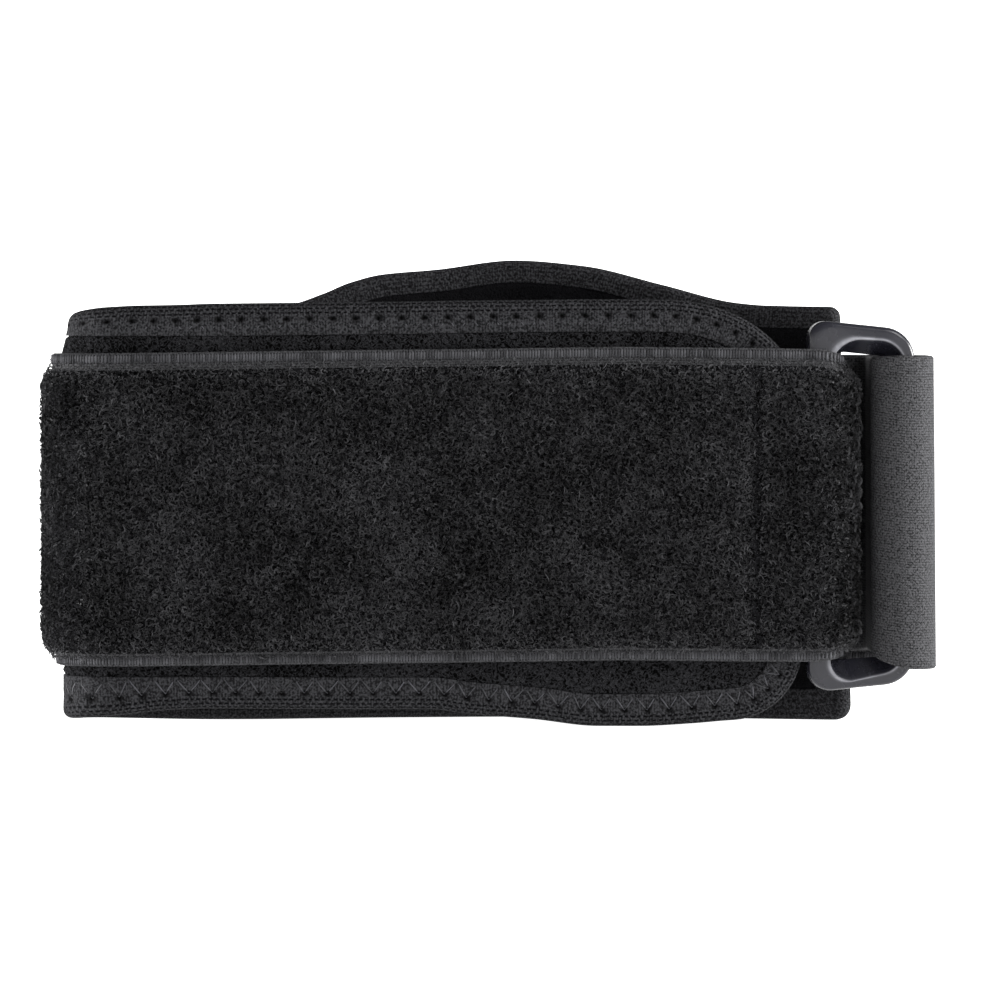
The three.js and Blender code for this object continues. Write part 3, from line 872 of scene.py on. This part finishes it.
TAPE_LINE, TAPE_AT, TAPE_LENGTH, ZIGZAGS = tape_loop()
TAPE_NORMALS = inward_normals(TAPE_LINE)
PITCH = TAPE_LENGTH / ZIGZAGS
TAPE_RIPPLE = TAPE_WAVE * wobble(7, TAPE_WAVE_SIZE, TAPE_AT)
OUTSIDE_SPREAD = tape_spread(*TAPE_LINE.T)
INSIDE_SPREAD = lining_spread(*TAPE_LINE.T)


def rear_corners():
    """The stretches of the tape that turn the two rear corners."""
    at_rear = TAPE_LINE[:, 0] > LENGTH - REAR_TURN
    heights = TAPE_LINE[:, 1]
    rear = heights[at_rear]
    for near in (heights > rear.max() - REAR_TURN, heights < rear.min() + REAR_TURN):
        index = np.flatnonzero(at_rear & near)
        yield slice(index[0], index[-1] + 1)


def tape_line(depth, outside):
    """The outline moved inward to a depth on the tape, with its points even past the mitred corners."""
    edge, spread = (TAPE_OUT, OUTSIDE_SPREAD) if outside else (TAPE_IN, INSIDE_SPREAD)
    share = max(0, (depth - TAPE_ROUND) / (edge - TAPE_ROUND))
    line = inset(TAPE_LINE, TAPE_NORMALS, depth + share * spread)
    for corner in rear_corners():
        run = lengths(line[corner])
        line[corner] = resampled(np.linspace(0, run[-1], len(run)), run, line[corner])
    return line


def from_needle(along):
    """Distance along the tape to the nearest needle hole of the outer row."""
    return np.abs((along / PITCH + 0.5) % 1 - 0.5) * PITCH


def tape_press(along, depth):
    """How far the seam draws the tape in: needle holes, thread grooves and the puckers between them."""
    to_hole = from_needle(along)
    to_tip = PITCH / 2 - to_hole
    from_hole, from_tip = depth - ZIGZAG_OUTER, depth - ZIGZAG_INNER
    leg = np.array((PITCH / 2, ZIGZAG_INNER - ZIGZAG_OUTER))
    part = np.clip((to_hole * leg[0] + from_hole * leg[1]) / (leg @ leg), 0, 1)
    to_leg = np.hypot(to_hole - part * leg[0], from_hole - part * leg[1])
    swell = PUCKER * 0.5 * (1 - np.cos(2 * math.pi * along / PITCH)) * bump(depth - PUCKER_AT, PUCKER_SIZE)
    return (
        HOLE_DEPTH * bump(np.hypot(to_hole, from_hole), HOLE_SIZE)
        + TIP_DEPTH * bump(np.hypot(to_tip, from_tip), TIP_SIZE)
        + GROOVE_DEPTH * bump(to_leg, GROOVE_SIZE) - swell
    )


def tape_section():
    """Outer skin from the outside edge round the fold to the inside edge: depth, off; then inner skin."""
    turn = np.radians(np.linspace(90, 0, 6))

    def skin(thick, steps_out, steps_in):
        across, deep = PAD / 2 - TAPE_FLAT - thick, TAPE_ROUND - thick
        corner = np.stack([TAPE_ROUND - deep * np.cos(turn), TAPE_FLAT + across * np.sin(turn)], -1)
        flat = PAD / 2 - thick
        far = np.linspace((TAPE_OUT, flat), (TAPE_ROUND, flat), steps_out)
        near = np.linspace((TAPE_ROUND, -flat), (TAPE_IN, -flat), steps_in)
        return np.vstack([far[:-1], corner, corner[::-1] * (1, -1), near[1:]])

    return skin(0, 19, 9), skin(TAPE, 5, 4)[::-1]


TAPE_OUTER, TAPE_INNER = tape_section()
TAPE_SECTION = np.vstack([TAPE_OUTER, TAPE_INNER])
TAPE_ROUND_LENGTHS = lengths(TAPE_SECTION)
TAPE_ACROSS = np.interp(0, -TAPE_OUTER[:, 1], TAPE_ROUND_LENGTHS[:len(TAPE_OUTER)]) - TAPE_ROUND_LENGTHS
NET_TO = TAPE_ACROSS[0] - (TAPE_OUT - ZIGZAG_OUTER) - NET_SHORT


def edge_binding(material):
    columns, whole = [], []
    for k, (depth, off) in enumerate(TAPE_SECTION):
        line = tape_line(depth, off > 0)
        to_hole = np.hypot(from_needle(TAPE_AT) / HOLE_LONG, depth - ZIGZAG_OUTER)
        whole.append(np.clip(1 - HOLE_DARK * bump(to_hole, HOLE_SIZE) * (off > TAPE_FLAT), 0, 1))
        if k < len(TAPE_OUTER):
            off = off - tape_press(TAPE_AT, depth) * (off > TAPE_FLAT) + TAPE_RIPPLE
        columns.append(on_pad(line[:, 0], line[:, 1], off))
    along = np.append(TAPE_AT, TAPE_LENGTH)
    across = np.append(TAPE_ACROSS, TAPE_ACROSS[-1] - TAPE)
    net = 1 - smoothstep(TAPE_ACROSS, NET_TO - NET_FADE, NET_TO + NET_FADE)
    net = net * (1 - NET_CLOSER * smoothstep(-TAPE_ACROSS, 0, NET_CLOSER_FROM))
    marks = {"whole": np.stack(whole, axis=1), "net": np.broadcast_to(net, (len(TAPE_AT), len(net)))}
    return swept("edge_tape", np.stack(columns, axis=1), along, across, material, marks)


def on_tape(along, depth):
    """Points on the outer face of the tape."""
    index = np.round(along / TAPE_LENGTH * len(TAPE_LINE)).astype(int) % len(TAPE_LINE)
    line = tape_line(depth, True)[index]
    sunk = THREAD_SUNK + THREAD_DEEPER * (line[:, 1] > STRAP_MIDDLE)
    return on_pad(line[:, 0], line[:, 1], PAD / 2 - sunk + TAPE_RIPPLE[index])


def zigzag_thread(tree, material):
    holes = np.arange(ZIGZAGS) * PITCH
    hole = on_tape(holes, ZIGZAG_OUTER)
    along = on_tape(holes + PITCH / 4, ZIGZAG_OUTER) - hole
    up = unit(np.cross(along, on_tape(holes, ZIGZAG_INNER) - hole))
    tips = [on_tape(holes + step * PITCH, ZIGZAG_INNER) for step in (0.5, -0.5)]
    places = np.vstack([(hole + tip) / 2 for tip in tips])
    runs = np.vstack([tip - hole for tip in tips])
    return grown("zigzag_thread", points_carrier(places, runs, np.vstack([up, up])), tree,
                 {"Thickness": THREAD / 2 * MM, "Rise": THREAD_RISE * MM, "Seed": 5, "Material": material})


# Strap.


def along_pad(off, start, stop):
    place, out = plan_at(np.linspace(start, stop, max(2, round(abs(stop - start) / RUN_STEP))))
    return place + out * off, out if stop > start else -out


def bend(centre, radius, start, stop, pile_side=1):
    place = arc(centre, radius, start, stop, 40)
    return place, pile_side * unit(place - centre)


def strap_run(where, middle, width=(STRAP_WIDTH, STRAP_WIDTH), pile=(PILE, PILE)):
    """Rows of the strap's table along one run, from the values at its start to those at its end."""
    start, stop = np.transpose([middle, width, pile])
    return np.column_stack([*where, start + (stop - start) * np.linspace(0, 1, len(where[0]))[:, None]])


def strap_runs():
    """Runs of the woven back: where in plan, then middle height, width and pile at start and end."""
    end, out = plan_at(LENGTH)
    heading = np.array((out[1], -out[0]))
    turn = math.degrees(math.atan2(out[1], out[0]))
    tail_off = STRAP_OFF + 2 * (STRAP_BASE + PILE) + GAP

    def centre_for(off, radius, x):
        centre = end + out * (off - radius)
        return centre + heading * (x - radius - centre[0]) / heading[0]

    slot = centre_for(STRAP_OFF, SLOT_BEND, RIGHT_BAR[0] - BAR_BACK)
    tail = centre_for(tail_off, TAIL_BEND, RIGHT_BAR[0] + BAR_BACK)
    past = (tail - end) @ heading
    tip = LENGTH - TAIL
    hooks = tip + HOOK_FROM_END + HOOK_LENGTH
    wide, at_bar, at_hooks = (STRAP_WIDTH,) * 2, (PILE_AT_BAR,) * 2, (PILE_AT_HOOKS,) * 2
    start = np.array([(SEWN_BACK_TO, STRAP_OFF)]), np.array([(0.0, 1.0)])
    return [strap_run(*row) for row in (
        (start, (35.6, 35.6)),
        (bend(LEFT_BAR, STRAP_OFF, 90, 0), (35.5, 35.4), (49.8, WIDTH_AT_BAR), (PILE, PILE_ROUND_BAR)),
        (bend(LEFT_BAR, STRAP_OFF, -2, -90), (35.4, 35.6), (WIDTH_AT_BAR, 50.2), (PILE_ROUND_BAR, PILE)),
        (along_pad(STRAP_OFF, 8, 29.5), (35.7, 35.9)),
        (along_pad(STRAP_OFF, 50, 85), (35.6, 35.2)),
        (along_pad(STRAP_OFF, FOLD_FROM - 4, FOLD_TO + 3), (34.9, 34.7)),
        (along_pad(STRAP_OFF, 140, LENGTH - 22), (34.7, 35.2)),
        (along_pad(STRAP_OFF, LENGTH - 20, LENGTH - 3), (35.2, 35.3), (STRAP_WIDTH, 48.6)),
        (bend(slot, SLOT_BEND, turn, 0), (35.4, 35.5), (48.4, WIDTH_IN_SLOT)),
        (bend(RIGHT_BAR, BAR_BACK, 180, 270, -1), (35.5, 34.5), (WIDTH_IN_SLOT, STRAP_WIDTH), at_bar),
        (bend(RIGHT_BAR, BAR_BACK, 292.5, 360, -1), (34.4, 34.4), wide, at_bar),
        (bend(tail, TAIL_BEND, 0, turn, -1), (34.4, 34.4)),
        (along_pad(tail_off, LENGTH + past - 2, hooks + 3), (34.4, 34.5)),
        (along_pad(tail_off, hooks + 1, tip + 6), (34.5, 34.6), wide, at_hooks),
        (along_pad(tail_off, tip + 3, tip), (34.6, 34.6), (48.4, 38.4), at_hooks),
    )]


def strap_rows(at, known, rows):
    """The strap's table at places along it, its pile sides still of unit length."""
    even = resampled(at, known, rows)
    even[:, SIDE] = unit(even[:, SIDE])
    return even


def strap_line():
    """The whole strap at even steps: path length and table, and where each run starts."""
    runs = strap_runs()
    rows = np.vstack(runs)
    known = lengths(rows[:, PLACE])
    at = np.linspace(0, known[-1], round(known[-1] / STRAP_STEP))
    starts = np.cumsum([0, *map(len, runs[:-1])])
    return at, strap_rows(at, known, rows), known[starts]


STRAP_AT, STRAP, RUNS = strap_line()
FRONT_FROM, FOLD_RUN, REAR_RUN = RUNS[1], RUNS[5], RUNS[6]
FRONT_MIDDLE = (FRONT_FROM + FOLD_RUN) / 2
TAIL_END = plan_at(LENGTH - TAIL)[0][0]
COVERED = STRAP_AT[np.argmax((STRAP_AT > REAR_RUN) & (STRAP[:, 0] > TAIL_END - TAIL_COVERS))]


def on_strap(rows, across, off):
    """Points across the strap, off its woven back, at some of its stations."""
    place, side = rows[:, None, PLACE], rows[:, None, SIDE]
    round_fold = 1 - smoothstep(place[..., 0], FOLD_AT - STRAP_OFF - FOLD_RADIUS, EDGE_DRAWN_TO)
    low = smoothstep(-across, STRAP_WIDTH / 2 - EDGE_DRAWN_WIDTH, STRAP_WIDTH / 2)
    plan = place + side * (off - EDGE_DRAWN * round_fold * low)[..., None]
    height = rows[:, MIDDLE] + across
    past_ring = smoothstep(place[..., 0], LEFT_BAR[0] + SLANT_PAST_BAR, RIGHT_BAR[0])
    plan[..., 0] += past_ring * RIGHT_SLANT * (STRAP_MIDDLE + SLANT_FROM - height)
    return np.concatenate([plan, height[..., None]], -1)


def across_strap(rows):
    """Places across the strap, closer together along its selvages."""
    rim = np.array([0, 0.15, 0.4, 0.8, 1.2, 1.6, 1.9, 2.1, 2.4, 2.8, 3.4])
    half = rows[:, WIDTH] / 2
    inner = np.linspace(-1, 1, STRAP_COLUMNS)[1:-1] * (half - rim[-1])
    return np.concatenate([rim - half, inner, half - rim[::-1]], axis=1)


def pile_lift(at, rows, across):
    """Height of the pile, from 0 to 1: down at the selvages and along the sewn line."""
    from_edge = rows[:, WIDTH] / 2 - SELVAGE - np.abs(across) + PILE_LEANS * (across < 0)
    share = PILE_LEAST + (1 - PILE_LEAST) * smoothstep(from_edge, -PILE_OVERLAP, PILE_RISE)
    front = (at > FRONT_FROM) & (at < FOLD_RUN)
    seam = front[:, None] * bump(rows[:, :1] - SEAM_AT, SEAM_WIDTH)
    return rows[:, LOOPS] / PILE * share * (1 - SEAM_DEPTH * seam)


def loop_strap(woven, pile_ground):
    across = across_strap(STRAP)
    from_edge = STRAP[:, WIDTH] / 2 - np.abs(across)
    rounded = STRAP_ROUND * (1 - np.clip(from_edge / STRAP_ROUND_WIDTH, 0, 1)) ** 2
    curled = (STRAP_AT < COVERED)[:, None]
    lumps = wobble(11, LUMP_SIZE, STRAP_AT[:, None], across)
    at_fold = 1 - smoothstep(STRAP[:, :1], FOLD_AT - FOLD_RADIUS, FOLD_AT)
    under_curls = GROUND + GROUND_AT_FOLD * at_fold + GROUND_LUMPS * lumps
    ground = np.where(curled, under_curls, BARE_GROUND + BARE_LUMPS * lumps)
    height = pile_lift(STRAP_AT, STRAP, across) * PILE * ground
    inside = smoothstep(from_edge + PILE_LEANS * (across < 0), *GROUND_EDGE)
    pile_off = STRAP_BASE - SELVAGE_SUNK - rounded + (height + SELVAGE_SUNK) * inside
    cloth = np.stack([np.broadcast_to(STRAP_AT[:, None], across.shape), across], -1)
    skins = (on_strap(STRAP, across, off) for off in (pile_off, rounded))
    strap = slab("strap", *skins, cloth, woven)
    rows, columns = np.array(across.shape) - 1
    pile_faces = np.arange(rows * columns).reshape(rows, columns)
    second_material(strap, pile_ground, pile_faces[:, GROUND_COLUMNS].ravel().tolist())
    return strap


def strap_pile(name, tree, material, start, stop, density, seed):
    chosen = (STRAP_AT > start - STRAP_STEP) & (STRAP_AT <= stop)
    at, rows = STRAP_AT[chosen], STRAP[chosen]
    across = np.linspace(-1, 1, PILE_COLUMNS) * (rows[:, WIDTH] / 2 - SELVAGE + PILE_OVERLAP)
    lift = pile_lift(at, rows, across)
    stands = PILE * CURLS_AT * np.maximum(0, lift - PILE_LEAST) / (1 - PILE_LEAST)
    carrier = patch_carrier(on_strap(rows, across, STRAP_BASE + stands), lift)
    return grown(name, carrier, tree,
                 {"Density": density / MM**2, "Spacing": CURL_SPACING * MM, "Curl": MM,
                  "Thickness": CURL_WIDTH * MM, "Seed": seed, "Material": material})


def selvage_ribs(tree, material):
    count = round(STRAP_AT[-1] / RIB_PITCH)
    from_end = 0.4
    rows = strap_rows(np.linspace(from_end, STRAP_AT[-1] - from_end, count), STRAP_AT, STRAP)
    places = []
    for edge in (1, -1):
        across = edge * (rows[:, WIDTH] / 2 - RIB_LENGTH / 2 - RIB_FROM_EDGE)
        places.append(on_strap(rows, across, np.full_like(across, STRAP_BASE - RIB_SUNK))[:, 0])
    runs = np.tile((0, 0, RIB_LENGTH), (2 * count, 1))
    ups = np.tile(np.column_stack([rows[:, SIDE], np.zeros(count)]), (2, 1))
    return grown("selvage_ribs", points_carrier(np.vstack(places), runs, ups), tree,
                 {"Thickness": RIB_WIDTH * MM, "Rise": RIB_HEIGHT * MM, "Seed": 8, "Material": material})


# Hook tab and ring.


def hook_tab(material):
    along = LENGTH - TAIL + HOOK_FROM_END + np.linspace(0, HOOK_LENGTH, 40)
    across = np.linspace(-HOOK_WIDTH / 2, HOOK_WIDTH / 2, 50)
    place, out = plan_at(along)
    inside = STRAP_OFF + STRAP_BASE + PILE + GAP
    from_ends = np.minimum(along - along[0], along[-1] - along)[:, None]
    rim = np.minimum(from_ends, HOOK_WIDTH / 2 - np.abs(across))
    rounded = HOOK_ROUND * (1 - np.clip(rim / HOOK_ROUND_WIDTH, 0, 1)) ** 2
    faces = []
    for off in (inside + HOOK - rounded, inside + rounded):
        plan = place[:, None] + out[:, None] * off[..., None]
        faces.append(np.concatenate([plan, np.broadcast_to(HOOK_MIDDLE + across, off.shape)[..., None]], -1))
    flat = np.stack(np.meshgrid(along, across, indexing="ij"), -1)
    return slab("hook_tab_sewn", *faces, flat, material)


def pull_ring(material):
    lines = (RING_OUTER, RING_RIM, RING_INNER)
    outer, rim, inner = (rounded_polygon(line, 14, 38)[:, None] for line in lines)
    section = rounded_polygon([(x * BAR_SPAN, y, radius) for x, y, radius in RING_SECTION], 8, 5)
    share = section[:, :1] / BAR_SPAN
    flat = rim + (outer - rim) * np.maximum(share, 0) + (inner - rim) * np.maximum(-share, 0)
    slope = (RIGHT_BAR[1] - LEFT_BAR[1]) / (RIGHT_BAR[0] - LEFT_BAR[0])
    depth = LEFT_BAR[1] + slope * (flat[..., 0] - LEFT_BAR[0])
    through = unit(np.array((slope, -1.0, 0.0)))
    points = np.stack([flat[..., 0], depth, flat[..., 1]], -1) + through * section[:, 1:]
    round_bar = lengths(np.vstack([section, section[:1]]))
    along = lengths(np.vstack([rim[:, 0], rim[0]]))
    # Painted highlight: a band along the ridge of the bar's section, stored as rim, which the material paints
    # light grey.
    painted_highlight = bump(round_bar[:-1] - round_bar[np.argmax(section[:, 1])], PAINTED_HIGHLIGHT_WIDTH)
    marks = {"rim": np.broadcast_to(painted_highlight, points.shape[:2])}
    return swept("ring", points, along, round_bar, material, marks)


# Stage.


def camera():
    data = bpy.data.cameras.new("camera")
    data.sensor_width = SENSOR
    data.lens = SENSOR * CAMERA_DISTANCE / (PIXEL * IMAGE_SIDE)
    obj = put("camera", data)
    pitch = math.radians(CAMERA_PITCH)
    back = np.array((0, -math.cos(pitch), math.sin(pitch))) * CAMERA_DISTANCE
    obj.location = (np.array(CAMERA_AIM) + back) * MM + SHIFT
    obj.rotation_euler = (math.pi / 2 - pitch, 0, 0)
    bpy.context.scene.camera = obj


def white_paper():
    # Matt white paper, lit so that it reads as white.
    material, tree, place = surface("white_paper", 0.9, PAPER, glow=STAGE_GLOW)
    grain = node(tree, "ShaderNodeTexNoise", {"Vector": place, "Scale": per_metre(2), "Detail": 2})
    return finished(material, grain, linear("#e4e4e4"), linear("#ededed"))


def white_stage():
    """A round floor and a low wall round it."""
    around = np.radians(np.arange(0, 360, 5))
    foot = STAGE_RADIUS * np.column_stack([np.cos(around), np.sin(around), 0 * around])
    wall = np.vstack([foot, foot + (0, 0, STAGE_WALL)])
    k = np.arange(len(foot))
    following = np.roll(k, -1)
    panels = np.stack([k, k + len(k), following + len(k), following], -1)
    paper = white_paper()
    for name, points, faces in (("floor", foot, k[None]), ("backdrop", wall, panels)):
        mesh = bpy.data.meshes.new(name)
        mesh.from_pydata(points.tolist(), [], faces.tolist())
        mesh.materials.append(paper)
        put(name, mesh)


def studio():
    world = bpy.data.worlds.new("studio")
    world.use_nodes = True
    sky = world.node_tree.nodes["Background"].inputs
    sky["Color"].default_value = (1, 1, 1, 1)
    sky["Strength"].default_value = WORLD_LIGHT
    bpy.context.scene.world = world
    bpy.context.scene.view_settings.view_transform = "Standard"
    for name, (place, size, watts) in LAMPS.items():
        data = bpy.data.lights.new(name, "AREA")
        data.size = size
        data.energy = watts
        lamp = put(name, data)
        lamp.location = place
        x, y, z = LAMP_AIM - place
        lamp.rotation_euler = (math.atan2(math.hypot(x, y), -z), 0, math.atan2(-x, y))
    white_stage()


camera()
studio()

pad = body_pad(napped_cloth("nylon_brushed_cloth"), napped_cloth("nylon_knit_lining"))
tape = edge_binding(polyester_mesh_tape())
thread = zigzag_thread(laid_tree("sewn_stitches", thread_stitch), yarn("polyester_sewing_thread"))
strap = loop_strap(nylon_woven_webbing(), napped_cloth("nylon_pile_ground"))
selvages = selvage_ribs(laid_tree("selvage_rib", yarn_rib), yarn("nylon_selvage_yarn"))
tab = hook_tab(napped_cloth("nylon_hook_tape"))
ring = pull_ring(acetal_moulded_ring())

# Pile, in five pieces: start and stop along the strap, curls per square millimetre, and seed.
pile, loops = pile_tree(), yarn("nylon_loop_pile")
piles = [strap_pile(name, pile, loops, *row) for name, row in {
    "pile_front_right": (FRONT_FROM, FRONT_MIDDLE, 11.0, 21),
    "pile_front_left": (FRONT_MIDDLE, FOLD_RUN + 4, 11.0, 22),
    "pile_fold": (FOLD_RUN + 4, REAR_RUN, 10.0, 23),
    "pile_rear": (REAR_RUN, COVERED, 7.0, 24),
    "pile_return": (0, FRONT_FROM, 6.0, 25),
}.items()]

for piece, slot, *nodes in (
    (pad, "pad_cloth", "body_pad"),
    (tape, "mesh_tape", "edge_binding"),
    (thread, "mesh_tape"),
    (strap, "loop_webbing", "loop_strap"),
    (selvages, "loop_webbing"),
    (tab, "hook_tape", "hook_tab"),
    (ring, "ring_plastic", "pull_ring"),
    *((pile_piece, "loop_webbing") for pile_piece in piles),
):
    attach(piece, BODY)
    if nodes:
        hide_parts(*nodes)
